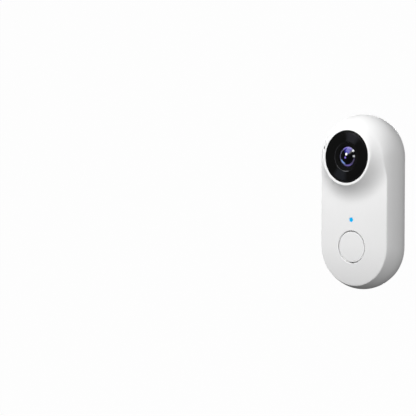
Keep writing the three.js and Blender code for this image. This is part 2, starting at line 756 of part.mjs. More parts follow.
add(unit, "lamp_flex", "gold", ribbon(-2.5, 2.5, 0.15, lampLine));

add(unit, "main_board", "greenBoard", mainBoard());
boardScrews.forEach(([x, z], i) => {
  const seatHead = boardBack + screwHeadThick + seat;
  add(unit, `board_screw_${i + 1}`, "steel", screw(x, z, seatHead, screwHeadThick, 3.4));
});
add(unit, "shield_can", "steel", block(0, 14, boardBack + seat, partsBack, -20, -4));
add(unit, "radio_module", "steel", block(-14, -2, boardBack + seat, partsBack - 0.2, -14, -2));
add(unit, "power_inductor", "chip", block(-11, -6, boardBack + seat, partsBack, -26, -21));
add(unit, "battery_cell", "silverFoil",
  block(-batteryHalf, batteryHalf, batteryFront, coverBoard, batteryBottom, batteryTop));
add(unit, "battery_plug", "whitePlastic", block(6, 12, boardBack + seat, boardBack + 2.6,
  boardTop - 4.8, boardTop - 0.8));
const redLine = [[-0.5, 10.6, 3.1], [-0.5, 10.6, 5.2], [2, 9.4, 6.9], [5.6, 7.9, 6.9]];
add(unit, "battery_lead_red", "redWire", wire(redLine, 0.5));
const blackLine = [[2.2, 10.9, 3.1], [2.4, 10.8, 4.2], [3.6, 9.2, 5.3], [5.6, 7.9, 5.4]];
add(unit, "battery_lead_black", "blackWire", wire(blackLine, 0.5));
add(unit, "antenna", "gold", block(cavityHalf - 0.35, cavityHalf - 0.1, 4, 12, -16, 10));
const antennaLine = [[cavityHalf - 1, 9.5, -4], [cavityHalf - 1.1, 9.5, 0], [cavityHalf - 2, 8.4, 4],
  [earHalf - 1.3, boardBack + 0.65, 6]];
add(unit, "antenna_cable", "blackWire", wire(antennaLine, 0.45));

add(unit, "mic_gasket", "foam", ring(micX, micZ, 0.6, micPocket - 0.2, -1.45, -0.25));
add(unit, "microphone", "steel", block(micX - 1.4, micX + 1.4, -0.2, 0.8, micZ - 1.7, micZ + 1.7));
add(unit, "mic_board", "greenBoard", rod(micX, micZ, micPocket - 0.2, 0.85, faceWall - seat));
const micFlexX = -cavityHalf + micFlexInset;
const micLine = [[faceWall + snug, micZ + 1], [faceWall + snug, boardTop + 4],
  [boardFront - snug, boardTop + 0.6], [boardFront - snug, boardTop - 1]];
add(unit, "mic_flex", "gold", ribbon(micFlexX, micFlexX + micFlexWidth, 0.15, micLine));

add(unit, "speaker_gasket", "foam", speakerGasket());
add(unit, "speaker_frame", "blackPlastic", speakerFrame());
add(unit, "speaker_cone", "chip", speakerCone());
add(unit, "speaker_magnet", "steel", speakerMagnet());

add(unit, "status_light_pipe", "blueLamp", lightPipe());
add(unit, "status_led", "chip", block(-0.8, 0.8, boardFront - 0.7, boardFront - seat, lampZ - 0.4,
  lampZ + 0.4));
add(unit, "bell_button", "whitePlastic", bellButton());
add(unit, "button_membrane", "whiteRubber", ring(0, bellZ, stemRadius + 0.5,
  buttonRadius + buttonFlange + 1.8, membraneFront, membraneFront + membraneThick));
add(unit, "bell_switch", "chip", bellSwitch());
add(unit, "bell_switch_stem", "whitePlastic", rod(0, bellZ, stemRadius, flangeFront + flangeThick + seat,
  boardFront - buttonTravel - 2 * snug, 16));

add(unit, "port_board", "greenBoard", portBoard());
add(unit, "port_socket", "steel", portSocket());
add(unit, "port_cover", "whiteRubber", portCover());
add(unit, "reset_key", "blackPlastic", resetKey());
add(unit, "reset_switch", "chip", resetSwitch());

export default doorbell;
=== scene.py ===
import json
import math
import bmesh
import bpy
from mathutils import Matrix, Vector

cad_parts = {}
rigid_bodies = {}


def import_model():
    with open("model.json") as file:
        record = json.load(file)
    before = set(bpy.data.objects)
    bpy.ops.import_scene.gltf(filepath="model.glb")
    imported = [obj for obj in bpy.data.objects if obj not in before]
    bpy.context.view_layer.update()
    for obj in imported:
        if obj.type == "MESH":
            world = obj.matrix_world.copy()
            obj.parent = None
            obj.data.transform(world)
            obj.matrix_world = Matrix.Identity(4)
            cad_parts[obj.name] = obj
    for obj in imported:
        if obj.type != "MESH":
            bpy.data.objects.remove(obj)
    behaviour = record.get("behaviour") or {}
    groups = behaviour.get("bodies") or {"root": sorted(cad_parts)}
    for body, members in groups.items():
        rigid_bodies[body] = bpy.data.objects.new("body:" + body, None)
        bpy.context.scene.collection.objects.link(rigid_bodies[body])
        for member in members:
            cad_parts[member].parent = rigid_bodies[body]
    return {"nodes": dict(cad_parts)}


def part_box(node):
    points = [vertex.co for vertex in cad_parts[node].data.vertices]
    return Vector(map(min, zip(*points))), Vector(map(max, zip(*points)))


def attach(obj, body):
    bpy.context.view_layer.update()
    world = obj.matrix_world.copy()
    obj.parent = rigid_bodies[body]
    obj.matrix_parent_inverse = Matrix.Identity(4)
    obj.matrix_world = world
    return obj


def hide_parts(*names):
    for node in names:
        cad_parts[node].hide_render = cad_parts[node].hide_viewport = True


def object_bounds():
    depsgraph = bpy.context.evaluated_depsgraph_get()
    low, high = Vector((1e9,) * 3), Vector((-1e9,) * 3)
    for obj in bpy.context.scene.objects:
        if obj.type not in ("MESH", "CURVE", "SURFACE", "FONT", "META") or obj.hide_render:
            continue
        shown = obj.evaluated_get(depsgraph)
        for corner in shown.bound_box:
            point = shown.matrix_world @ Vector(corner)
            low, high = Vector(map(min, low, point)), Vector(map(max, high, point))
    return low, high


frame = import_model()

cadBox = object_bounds()
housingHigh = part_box("front_housing")[1]

# Everything below is in millimetres, with depth y counted back from the crease
# between the doorbell's face and its sides. toFrame puts a mesh into the frame.
casing = {
    "half": housingHigh.x * 1000,                       # half width at the belly
    "arc": (housingHigh.z - housingHigh.x) * 1000,      # end arcs are centred this far from the middle
    "depth": 17.0,
    "belly": 8.5,
    "nose": 19.4,
    "taper": 1.5,
    "fillet": 1.5,
    "crown": 1.75,
    "faceWall": 1.8,
    "cavity": 20.4,
    "creaseRound": 0.35,
    "rim": 21.5,                # the back edge turns in here, then steps down to seat the cover
    "rimInner": 21.3,
    "rimRound": 0.2,
    "seat": 14.85,
}
creaseY = housingHigh.y * 1000 - casing["depth"]
eye = {"z": casing["arc"] + 0.9, "lip": 6.6, "lipOuter": 16.0, "pocket": 14.65, "ledge": 13.9, "well": 12.7,
       "pocketFloor": -4.75, "ledgeFloor": -2.75, "blend": 11.0, "sweep": 2.2, "round": 0.12}
bell = {"z": -casing["arc"] - 0.5, "hole": 9.2, "flange": 10.3, "round": 0.22, "gap": 0.6, "sunk": 0.2,
        "flangeFront": 2.0, "flangeBack": 2.8}
lamp = {"z": bell["z"] + 15.3, "radius": 1.2, "hole": 1.35, "round": 0.08, "middle": -1.74, "edge": -1.68,
        "collar": 1.8, "collarFront": 1.85, "collarBack": 2.4, "back": 4.2}


def toFrame(bm):
    bmesh.ops.transform(bm, verts=bm.verts, matrix=Matrix.Translation((0, creaseY, 0)))
    bmesh.ops.scale(bm, verts=bm.verts, vec=(0.001, 0.001, 0.001))


def piece(name, bm, body, material, replaced=(), angle=35.0, recalc=False):
    bmesh.ops.remove_doubles(bm, verts=bm.verts, dist=0.0005)
    if recalc:
        bmesh.ops.recalc_face_normals(bm, faces=bm.faces)
    toFrame(bm)
    mesh = bpy.data.meshes.new(name)
    for face in bm.faces:
        face.smooth = True
    for edge in bm.edges:
        if len(edge.link_faces) == 2:
            edge.smooth = edge.calc_face_angle(0) < math.radians(angle)
    bm.to_mesh(mesh)
    bm.free()
    obj = bpy.data.objects.new(name, mesh)
    bpy.context.scene.collection.objects.link(obj)
    mesh.materials.append(material)
    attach(obj, body)
    if replaced:
        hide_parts(*replaced)
    return obj


# Extrudes a closed ring of vertices and moves each new one to its place.
def nextRing(bm, ring, place):
    edges = [bm.edges.get((ring[j - 1], ring[j])) for j in range(len(ring))]
    grown = bmesh.ops.extrude_edge_only(bm, edges=edges)["geom"]
    old = set(ring)
    follows = {}
    for vert in grown:
        if isinstance(vert, bmesh.types.BMVert):
            for edge in vert.link_edges:
                if edge.other_vert(vert) in old:
                    follows[edge.other_vert(vert)] = vert
    ring = [follows[vert] for vert in ring]
    for j, vert in enumerate(ring):
        vert.co = place(j)
    return ring


def firstRing(bm, count, place):
    ring = bmesh.ops.create_circle(bm, segments=count, radius=1)["verts"]
    for j, vert in enumerate(ring):
        vert.co = place(j)
    return ring


# Points are [radius, depth, fillet]; each filleted corner becomes a short arc.
def roundCorners(points, closed=False):
    out = []
    for i, point in enumerate(points):
        fillet = point[2] if len(point) > 2 else 0
        here = Vector(point[:2])
        if not fillet or (not closed and i in (0, len(points) - 1)):
            out.append(here)
            continue
        before = (Vector(points[i - 1][:2]) - here).normalized() * fillet
        after = (Vector(points[(i + 1) % len(points)][:2]) - here).normalized() * fillet
        for step in range(5):
            t = step / 4
            out.append(here + before * (1 - t) ** 2 + after * t ** 2)
    return out


# A piece turned about an axis along y, from a profile of radius and depth.
def turned(x, z, points, steps=96, closed=False):
    bm = bmesh.new()
    profile = roundCorners(points, closed)
    verts = [bm.verts.new((x + p.x, p.y, z)) for p in profile]
    edges = [bm.edges.new(pair) for pair in zip(verts, verts[1:])]
    if closed:
        edges.append(bm.edges.new((verts[-1], verts[0])))
    bmesh.ops.spin(bm, geom=verts + edges, cent=(x, 0, z), axis=(0, 1, 0), angle=2 * math.pi,
                   steps=steps, use_merge=True)
    bmesh.ops.remove_doubles(bm, verts=bm.verts, dist=0.0008)
    bmesh.ops.recalc_face_normals(bm, faces=bm.faces)
    return bm


def addBlock(bm, x0, x1, y0, y1, z0, z1, bevel=0.0, segments=3):
    made = bmesh.ops.create_cube(bm, size=1)["verts"]
    bmesh.ops.scale(bm, verts=made, vec=(x1 - x0, y1 - y0, z1 - z0))
    bmesh.ops.translate(bm, verts=made, vec=((x0 + x1) / 2, (y0 + y1) / 2, (z0 + z1) / 2))
    if bevel:
        edges = list({edge for vert in made for edge in vert.link_edges})
        bmesh.ops.bevel(bm, geom=edges, offset=bevel, offset_type="OFFSET", affect="EDGES",
                        segments=segments, profile=0.5, material=-1)
    return bm


def addRod(bm, radius, start, end, steps=48):
    start, end = Vector(start), Vector(end)
    turn = (end - start).to_track_quat("Z", "Y").to_matrix().to_4x4()
    bmesh.ops.create_cone(bm, cap_ends=True, segments=steps, radius1=radius, radius2=radius,
                          depth=(end - start).length,
                          matrix=Matrix.Translation((start + end) / 2) @ turn)
    return bm


# A slab with two half-round ends.
def pillPrism(half, y0, y1, bevel=0.0, steps=120):
    arc = casing["arc"]
    bm = bmesh.new()
    ring = bmesh.ops.create_circle(bm, cap_ends=True, segments=steps, radius=half)["verts"]
    bmesh.ops.rotate(bm, verts=ring, cent=(0, 0, 0), matrix=Matrix.Rotation(math.pi / steps, 3, "Z"))
    bmesh.ops.rotate(bm, verts=ring, cent=(0, 0, 0), matrix=Matrix.Rotation(math.pi / 2, 3, "X"))
    for vert in ring:
        vert.co.z += math.copysign(arc, vert.co.z)
        vert.co.y = y0
    grown = bmesh.ops.extrude_face_region(bm, geom=list(bm.faces))["geom"]
    bmesh.ops.translate(bm, verts=[g for g in grown if isinstance(g, bmesh.types.BMVert)],
                        vec=(0, y1 - y0, 0))
    bmesh.ops.recalc_face_normals(bm, faces=bm.faces)
    if bevel:
        rims = [e for e in bm.edges if abs(e.verts[0].co.y - e.verts[1].co.y) < 1e-6]
        bmesh.ops.bevel(bm, geom=rims, offset=bevel, offset_type="OFFSET", affect="EDGES",
                        segments=3, profile=0.5, material=-1)
    return bm


# Cuts the closed bmeshes in tools out of bm.
def carve(bm, tools):
    base = bpy.data.meshes.new("carveBase")
    bm.to_mesh(base)
    bm.free()
    obj = bpy.data.objects.new("carveBase", base)
    bpy.context.scene.collection.objects.link(obj)
    group = bpy.data.collections.new("carveTools")
    bpy.context.scene.collection.children.link(group)
    for tool in tools:
        bmesh.ops.recalc_face_normals(tool, faces=tool.faces)
        mesh = bpy.data.meshes.new("carveTool")
        tool.to_mesh(mesh)
        tool.free()
        group.objects.link(bpy.data.objects.new("carveTool", mesh))
    cut = obj.modifiers.new("carve", "BOOLEAN")
    cut.operand_type = "COLLECTION"
    cut.collection = group
    cut.operation = "DIFFERENCE"
    cut.solver = "EXACT"
    bpy.context.view_layer.update()
    shaped = obj.evaluated_get(bpy.context.evaluated_depsgraph_get())
    out = bmesh.new()
    out.from_mesh(shaped.to_mesh())
    shaped.to_mesh_clear()
    for tool in list(group.objects):
        mesh = tool.data
        bpy.data.objects.remove(tool)
        bpy.data.meshes.remove(mesh)
    bpy.data.collections.remove(group)
    bpy.data.objects.remove(obj)
    bpy.data.meshes.remove(base)
    return out


def colour(hexText):
    parts = [int(hexText[i:i + 2], 16) / 255 for i in (1, 3, 5)]
    linear = [c / 12.92 if c <= 0.04045 else ((c + 0.055) / 1.055) ** 2.4 for c in parts]
    return (*linear, 1)


def addNode(tree, kind, settings=None, links=None):
    made = tree.nodes.new(kind)
    for key, value in (settings or {}).items():
        if isinstance(key, str) and hasattr(made, key):
            setattr(made, key, value)
        else:
            made.inputs[key].default_value = value
    for key, source in (links or {}).items():
        tree.links.new(source, made.inputs[key])
    return made


# A texture scale that makes its lumps about so many millimetres wide.
def perMm(size):
    return 1000 / size


def startMaterial(name, shader):
    material = bpy.data.materials.new(name)
    material.use_nodes = True
    tree = material.node_tree
    tree.nodes.clear()
    shade = addNode(tree, "ShaderNodeBsdfPrincipled", shader)
    addNode(tree, "ShaderNodeOutputMaterial", links={"Surface": shade.outputs[0]})
    return material, tree, shade, addNode(tree, "ShaderNodeTexCoord").outputs["Object"]


# Moulded plastic and rubber: the colour drifts a little over centimetres, and the fine
# spark-eroded grain of the mould breaks up the gloss.
def moulded(name, light, dark, roughness, grainMm=0.25, depthMm=0.004, spread=0.05, ior=1.5, shine=0.5):
    material, tree, shade, place = startMaterial(name, {"IOR": ior, "Specular IOR Level": shine})
    drift = addNode(tree, "ShaderNodeTexNoise", {"Scale": perMm(22), "Detail": 3}, {"Vector": place})
    tone = addNode(tree, "ShaderNodeMix", {"data_type": "RGBA", 6: colour(dark), 7: colour(light)},
                   {0: drift.outputs["Fac"]})
    pits = addNode(tree, "ShaderNodeTexNoise", {"Scale": perMm(grainMm), "Detail": 3}, {"Vector": place})
    gloss = addNode(tree, "ShaderNodeMapRange", {"To Min": roughness - spread, "To Max": roughness + spread},
                    {"Value": pits.outputs["Fac"]})
    relief = addNode(tree, "ShaderNodeBump", {"Strength": 1.0, "Distance": depthMm / 1000},
                     {"Height": pits.outputs["Fac"]})
    tree.links.new(tone.outputs[2], shade.inputs["Base Color"])
    tree.links.new(gloss.outputs[0], shade.inputs["Roughness"])
    tree.links.new(relief.outputs[0], shade.inputs["Normal"])
    return material


# Plated or anodised metal: tool marks and plating leave the gloss slightly uneven.
def plated(name, base, worn, roughness, grainMm=0.2, depthMm=0.003):
    material, tree, shade, place = startMaterial(name, {"Metallic": 1.0})
    marks = addNode(tree, "ShaderNodeTexNoise", {"Scale": perMm(grainMm), "Detail": 4}, {"Vector": place})
    tone = addNode(tree, "ShaderNodeMix", {"data_type": "RGBA", 6: colour(base), 7: colour(worn)},
                   {0: marks.outputs["Fac"]})
    gloss = addNode(tree, "ShaderNodeMapRange", {"To Min": roughness - 0.08, "To Max": roughness + 0.12},
                    {"Value": marks.outputs["Fac"]})
    relief = addNode(tree, "ShaderNodeBump", {"Strength": 1.0, "Distance": depthMm / 1000},
                     {"Height": marks.outputs["Fac"]})
    tree.links.new(tone.outputs[2], shade.inputs["Base Color"])
    tree.links.new(gloss.outputs[0], shade.inputs["Roughness"])
    tree.links.new(relief.outputs[0], shade.inputs["Normal"])
    return material


# Glass laminate under solder mask: tracks show as a lighter, slightly raised crossing pattern.
def laminate(name, base, track, pitchMm):
    material, tree, shade, place = startMaterial(name, {"Roughness": 0.35, "IOR": 1.5})
    tracks = addNode(tree, "ShaderNodeTexBrick", {"Scale": perMm(pitchMm), "Mortar Size": 0.03,
                                                  "Mortar Smooth": 0.1}, {"Vector": place})
    tone = addNode(tree, "ShaderNodeMix", {"data_type": "RGBA", 6: colour(base), 7: colour(track)},
                   {0: tracks.outputs["Fac"]})
    relief = addNode(tree, "ShaderNodeBump", {"Strength": 1.0, "Distance": 0.00002},
                     {"Height": tracks.outputs["Fac"]})
    tree.links.new(tone.outputs[2], shade.inputs["Base Color"])
    tree.links.new(relief.outputs[0], shade.inputs["Normal"])
    return material


# Paints reflections and highlights into the colour of a round surface seen along y, one over
# another. A painted mark is an arc between two radii, about a direction measured clockwise from
# the top, or a spot at x and z. Soft is how far its edge fades, in millimetres, and spread is an
# arc's half angle in degrees.
def paintedEyeReflections(tree, place, base, marks):
    flat = addNode(tree, "ShaderNodeMapping", {"Location": (0, 0, -eye["z"] / 1000), "Scale": (1, 0, 1)},
                   {"Vector": place}).outputs[0]
    split = addNode(tree, "ShaderNodeSeparateXYZ", links={0: flat})
    away = addNode(tree, "ShaderNodeVectorMath", {"operation": "LENGTH"}, {0: flat}).outputs["Value"]
    turn = addNode(tree, "ShaderNodeMath", {"operation": "ARCTAN2"},
                   {0: split.outputs["X"], 1: split.outputs["Z"]})
    tone = None
    for paintedMark in marks:
        soft = paintedMark["soft"] / 1000
        if "spot" in paintedMark:
            spot = (paintedMark["spot"][0] / 1000, 0, paintedMark["spot"][1] / 1000)
            gap = addNode(tree, "ShaderNodeVectorMath", {"operation": "DISTANCE", 1: spot}, {0: flat})
            size = paintedMark["size"] / 1000
            paintedMask = addNode(tree, "ShaderNodeMapRange", {"From Min": size, "From Max": size + soft,
                                                        "To Min": 1.0, "To Max": 0.0},
                           {"Value": gap.outputs["Value"]}).outputs[0]
        else:
            middle, half = (paintedMark["from"] + paintedMark["to"]) / 2000, (paintedMark["to"] - paintedMark["from"]) / 2000
            gap = addNode(tree, "ShaderNodeMath", {"operation": "SUBTRACT", 1: middle}, {0: away})
            gap = addNode(tree, "ShaderNodeMath", {"operation": "ABSOLUTE"}, {0: gap.outputs[0]})
            band = addNode(tree, "ShaderNodeMapRange", {"From Min": half, "From Max": half + soft,
                                                        "To Min": 1.0, "To Max": 0.0},
                           {"Value": gap.outputs[0]})
            lean = addNode(tree, "ShaderNodeMath", {"operation": "SUBTRACT", 1: math.radians(paintedMark["turn"])},
                           {0: turn.outputs[0]})
            lean = addNode(tree, "ShaderNodeMath", {"operation": "COSINE"}, {0: lean.outputs[0]})
            spread = math.radians(paintedMark["spread"])
            fan = addNode(tree, "ShaderNodeMapRange", {"From Min": math.cos(spread * 1.5),
                                                       "From Max": math.cos(spread * 0.6)},
                          {"Value": lean.outputs[0]})
            paintedMask = addNode(tree, "ShaderNodeMath", {"operation": "MULTIPLY"},
                           {0: band.outputs[0], 1: fan.outputs[0]}).outputs[0]
        mix = addNode(tree, "ShaderNodeMix", {"data_type": "RGBA", 7: colour(paintedMark["tone"])}, {0: paintedMask})
        if tone is None:
            mix.inputs[6].default_value = colour(base)
        else:
            tree.links.new(tone, mix.inputs[6])
        tone = mix.outputs[2]
    return tone


# Smoked polycarbonate that passes infrared: near black and glossy. The faint wedges and thin
# edge that turned rings gather from the light are painted reflections and a painted highlight
# here, fixed marks in the base colour that don't move with the view.
def smokedPlasticPaintedReflections(name, base, marks, polishMm):
    material, tree, shade, place = startMaterial(name, {"IOR": 1.42, "Roughness": 0.1,
                                                       "Specular IOR Level": 0.4})
    polish = addNode(tree, "ShaderNodeTexNoise", {"Scale": perMm(polishMm)}, {"Vector": place})
    gloss = addNode(tree, "ShaderNodeMapRange", {"To Min": 0.08, "To Max": 0.16},
                    {"Value": polish.outputs["Fac"]})
    tree.links.new(paintedEyeReflections(tree, place, base, marks), shade.inputs["Base Color"])
    tree.links.new(gloss.outputs[0], shade.inputs["Roughness"])
    return material


# Ground and coated glass: the antireflection coat returns violet and blue from its curved
# faces. Here those arcs are painted reflections, and the spots are painted glints that stand for
# lights caught in the glasses behind: fixed marks in the base colour.
def coatedGlassPaintedReflections(name, base, marks, polishMm):
    material, tree, shade, place = startMaterial(name, {"IOR": 1.25, "Roughness": 0.12})
    polish = addNode(tree, "ShaderNodeTexNoise", {"Scale": perMm(polishMm)}, {"Vector": place})
    gloss = addNode(tree, "ShaderNodeMapRange", {"To Min": 0.04, "To Max": 0.1},
                    {"Value": polish.outputs["Fac"]})
    tree.links.new(paintedEyeReflections(tree, place, base, marks), shade.inputs["Base Color"])
    tree.links.new(gloss.outputs[0], shade.inputs["Roughness"])
    return material


# A clear light pipe lit from behind, with a faint speckle from the diffuser in it.
def litPipe(name, base, glow, speckleMm):
    material, tree, shade, place = startMaterial(name, {"Roughness": 0.25, "IOR": 1.5,
                                                        "Base Color": colour(base),
                                                        "Emission Color": colour(glow)})
    speckle = addNode(tree, "ShaderNodeTexNoise", {"Scale": perMm(speckleMm)}, {"Vector": place})
    power = addNode(tree, "ShaderNodeMapRange", {"To Min": 0.45, "To Max": 0.65},
                    {"Value": speckle.outputs["Fac"]})
    tree.links.new(power.outputs[0], shade.inputs["Emission Strength"])
    return material


print("materials")
satinShell = moulded("satin moulded white ABS", "#F5F5F5", "#F1F1F1", 0.4, shine=0.2)
satinCap = moulded("satin moulded white polycarbonate", "#F5F5F5", "#F1F1F1", 0.38, shine=0.2)
greyBack = moulded("spark-eroded grey ABS", "#A6A8AB", "#999B9E", 0.6, 0.5, 0.02)
mattBlack = moulded("matt moulded black polycarbonate", "#060607", "#040404", 0.6, ior=1.3, shine=0.2)
whiteSilicone = moulded("matt moulded white silicone", "#ECECEA", "#E2E2E0", 0.65, 0.4, 0.008, ior=1.41)
blackRubber = moulded("matt moulded black rubber", "#050506", "#030303", 0.85, 0.3, 0.01, ior=1.4, shine=0.2)
closedFoam = moulded("closed cell foam tape", "#5C5D60", "#4C4D50", 0.9, 0.6, 0.08)
chipEpoxy = moulded("moulded chip epoxy", "#26282B", "#1B1D1F", 0.55, 0.2, 0.006)
redSleeve = moulded("extruded red silicone sleeve", "#B3221D", "#9A1A17", 0.5)
blackSleeve = moulded("extruded black sleeve", "#1A1A1D", "#121214", 0.5)
amberFilm = moulded("rolled amber polyimide film", "#C58A35", "#A56F25", 0.3, 1.5, 0.01)
zincSteel = plated("zinc plated steel", "#BFC1C5", "#CFD1D3", 0.32)
anodisedBlack = plated("black anodised aluminium", "#202124", "#2B2C30", 0.42)
cellFoil = plated("laminated aluminium foil", "#A9ACB0", "#BABDC0", 0.38, 6, 0.05)
greenBoard = laminate("green masked glass laminate", "#14492D", "#2B6B46", 3.2)
# The window's marks are painted light: two faint wedges of painted reflection, and a thin lighter inner edge
# with a painted highlight at its bottom.
smokedWindowPaintedReflections = smokedPlasticPaintedReflections("turned smoked polycarbonate with painted reflections", "#060606", [
    {"from": 8.6, "to": 13.0, "turn": 20, "spread": 17, "soft": 0.8, "tone": "#222226"},
    {"from": 8.6, "to": 13.0, "turn": 203, "spread": 17, "soft": 0.8, "tone": "#1C1E22"},
    {"from": 7.9, "to": 8.2, "turn": 250, "spread": 80, "soft": 0.15, "tone": "#2E2E31"},
    {"from": 7.9, "to": 8.25, "turn": 184, "spread": 12, "soft": 0.15, "tone": "#6A6C6E"},
], 6)
bluePipe = litPipe("lit blue light pipe", "#0690C8", "#00A8DC", 0.5)
# The lens's violet and blue arcs are painted reflections of its coat, and its white and violet spots are
# painted glints.
lensGlassPaintedReflections = coatedGlassPaintedReflections("coated glass with painted reflections", "#050508", [
    {"from": 4.7, "to": 5.15, "turn": 280, "spread": 75, "soft": 0.3, "tone": "#5A5870"},
    {"from": 4.7, "to": 5.2, "turn": 5, "spread": 30, "soft": 0.35, "tone": "#8478C8"},
    {"from": 4.7, "to": 5.2, "turn": 170, "spread": 28, "soft": 0.35, "tone": "#7C6EBE"},
    {"from": 4.6, "to": 5.0, "turn": 128, "spread": 22, "soft": 0.3, "tone": "#57506E"},
    {"from": 2.9, "to": 4.6, "turn": 8, "spread": 26, "soft": 0.4, "tone": "#3B3796"},
    {"from": 1.7, "to": 2.9, "turn": 8, "spread": 26, "soft": 0.4, "tone": "#24229A"},
    {"from": 3.9, "to": 4.5, "turn": 224, "spread": 20, "soft": 0.35, "tone": "#84A6EE"},
    {"spot": (-0.75, -0.55), "size": 0.35, "soft": 0.45, "tone": "#8A74E0"},
    {"spot": (-0.15, 1.35), "size": 0.55, "soft": 0.35, "tone": "#FFFFFF"},
    {"spot": (3.9, 3.2), "size": 0.45, "soft": 0.35, "tone": "#EFF2F4"},
    {"from": 4.1, "to": 4.9, "turn": 88, "spread": 6, "soft": 0.3, "tone": "#C4C8CC"},
], 3)


def sideHalf(y):
    if y < casing["belly"]:
        return casing["half"] * math.sqrt(max(0.0, 1 - ((casing["belly"] - y) / casing["nose"]) ** 2))
    along = (y - casing["belly"]) / (casing["depth"] - casing["fillet"] - casing["belly"])
    return casing["half"] - casing["taper"] * along ** 2


def pebbleHeight(d):
    return casing["nose"] * math.sqrt(max(0.0, 1 - (d / casing["half"]) ** 2)) - casing["belly"]


creaseHalf = casing["half"] * math.sqrt(1 - (casing["belly"] / casing["nose"]) ** 2)


def faceHeight(x, z):
    off = math.hypot(x, max(0.0, abs(z) - casing["arc"]))
    crown = casing["crown"] * max(0.0, 1 - (off / creaseHalf) ** 2)
    along = min(max((math.hypot(x, z - eye["z"]) - eye["lipOuter"]) / eye["blend"], 0), 1)
    return crown + (eye["lip"] - crown) * (1 - along) ** eye["sweep"]


# x and z at distance d from the outline's middle line, in the spot's direction.
def outlinePoint(spot, d):
    base, angle = spot
    return d * math.cos(angle), base + d * math.sin(angle)


# The outermost place where the face meets the rounded side. Over the top the two run together,
# and the ring of points stays at leastCrease.
def creaseDistance(spot):
    outer = casing["half"]
    inner = outer
    while inner > shell["leastCrease"] and pebbleHeight(inner) < faceHeight(*outlinePoint(spot, inner)):
        inner -= 0.1
    outer = inner + 0.1
    for _ in range(20):
        middle = (inner + outer) / 2
        if pebbleHeight(middle) > faceHeight(*outlinePoint(spot, middle)):
            inner = middle
        else:
            outer = middle
    return max(inner, shell["leastCrease"])


shell = {
    "splitUpper": -4.0,          # the face is made as three patches: eye, lamp and bell
    "splitLower": -14.5,
    "acrossSteps": 44,
    "arcSteps": 96,
    "eyeSide": 20,
    "lampSide": 8,
    "bellSide": 8,
    "eyeRings": 26,
    "lampRings": 8,
    "bellRings": 16,
    "bellyRings": 12,
    "leastCrease": 20.9,
    "backRings": 5,
}


def spread(start, end, steps):
    return [start + (end - start) * i / steps for i in range(steps + 1)]


# Spots round the outline, counterclockwise from the lower right, as base z and direction.
def outlineSpots():
    arc = casing["arc"]
    heights = spread(-arc, shell["splitLower"], shell["bellSide"])
    heights += spread(shell["splitLower"], shell["splitUpper"], shell["lampSide"])[1:]
    heights += spread(shell["splitUpper"], arc, shell["eyeSide"])[1:]
    spots = [(z, 0.0) for z in heights]
    spots += [(arc, math.pi * i / shell["arcSteps"]) for i in range(1, shell["arcSteps"])]
    spots += [(z, math.pi) for z in reversed(heights)]
    spots += [(-arc, math.pi * (1 + i / shell["arcSteps"])) for i in range(1, shell["arcSteps"])]
    return spots


spots = outlineSpots()
creases = [creaseDistance(spot) for spot in spots]


def facePoint(x, z):
    off = math.hypot(x, max(0.0, abs(z) - casing["arc"]))
    return Vector((x, -min(faceHeight(x, z), pebbleHeight(off)), z))


# Where the face stops, one rounding short of the crease.
def faceEdge(j):
    return outlinePoint(spots[j], creases[j] - casing["creaseRound"])


def innerEdge(j):
    return outlinePoint(spots[j], casing["cavity"])


# The outer rings of the three patches, from a function that gives each outline spot's x and z.
def patchBounds(edge):
    upper, lower, steps = shell["splitUpper"], shell["splitLower"], shell["acrossSteps"]
    lowRight = shell["bellSide"]
    highRight = lowRight + shell["lampSide"]
    topRight = highRight + shell["eyeSide"]
    highLeft = topRight + shell["arcSteps"] + shell["eyeSide"]
    lowLeft = highLeft + shell["lampSide"]
    reachUpper, reachLower = edge(highRight)[0], edge(lowRight)[0]
    acrossUpper = [(x, upper) for x in spread(-reachUpper, reachUpper, steps)[1:-1]]
    acrossLower = [(x, lower) for x in spread(-reachLower, reachLower, steps)[1:-1]]
    eyeRing = [edge(j) for j in range(highRight, highLeft + 1)] + acrossUpper
    lampRing = [edge(j) for j in range(lowRight, highRight + 1)] + acrossUpper[::-1]
    lampRing += [edge(j) for j in range(highLeft, lowLeft + 1)] + acrossLower
    bellRing = [edge(j % len(spots)) for j in range(lowLeft, len(spots) + lowRight + 1)] + acrossLower[::-1]
    return eyeRing, lampRing, bellRing


# Rings of quads from a round hole out to its bounds; radii are the crisp rings near the hole.
def growPatch(bm, hole, bounds, centreZ, surface, radii, rings, even=False):
    count = len(bounds)
    if even:
        middle = math.atan2(bounds[0][1] - centreZ, bounds[0][0])
        angles = [middle + 2 * math.pi * j / count for j in range(count)]
    else:
        angles = [math.atan2(z - centreZ, x) for x, z in bounds]
    reaches = [math.hypot(x, z - centreZ) for x, z in bounds]

    def place(k, j):
        x, z = bounds[j]
        gap = reaches[j] - hole
        near = [min((r - hole) / gap, 0.6 * (i + 1) / len(radii)) for i, r in enumerate(radii)]
        if k <= len(radii):
            share = near[k - 1] if k else 0.0
            r = hole + gap * share
            return surface(r * math.cos(angles[j]), centreZ + r * math.sin(angles[j]))
        inner = hole + gap * near[-1]
        share = ((k - len(radii)) / (rings - len(radii))) ** 1.25
        x0, z0 = inner * math.cos(angles[j]), centreZ + inner * math.sin(angles[j])
        return surface(x0 + (x - x0) * share, z0 + (z - z0) * share)

    ring = firstRing(bm, count, lambda j: place(0, j))
    start = ring
    for k in range(1, rings + 1):
        ring = nextRing(bm, ring, lambda j: place(k, j))
    return start


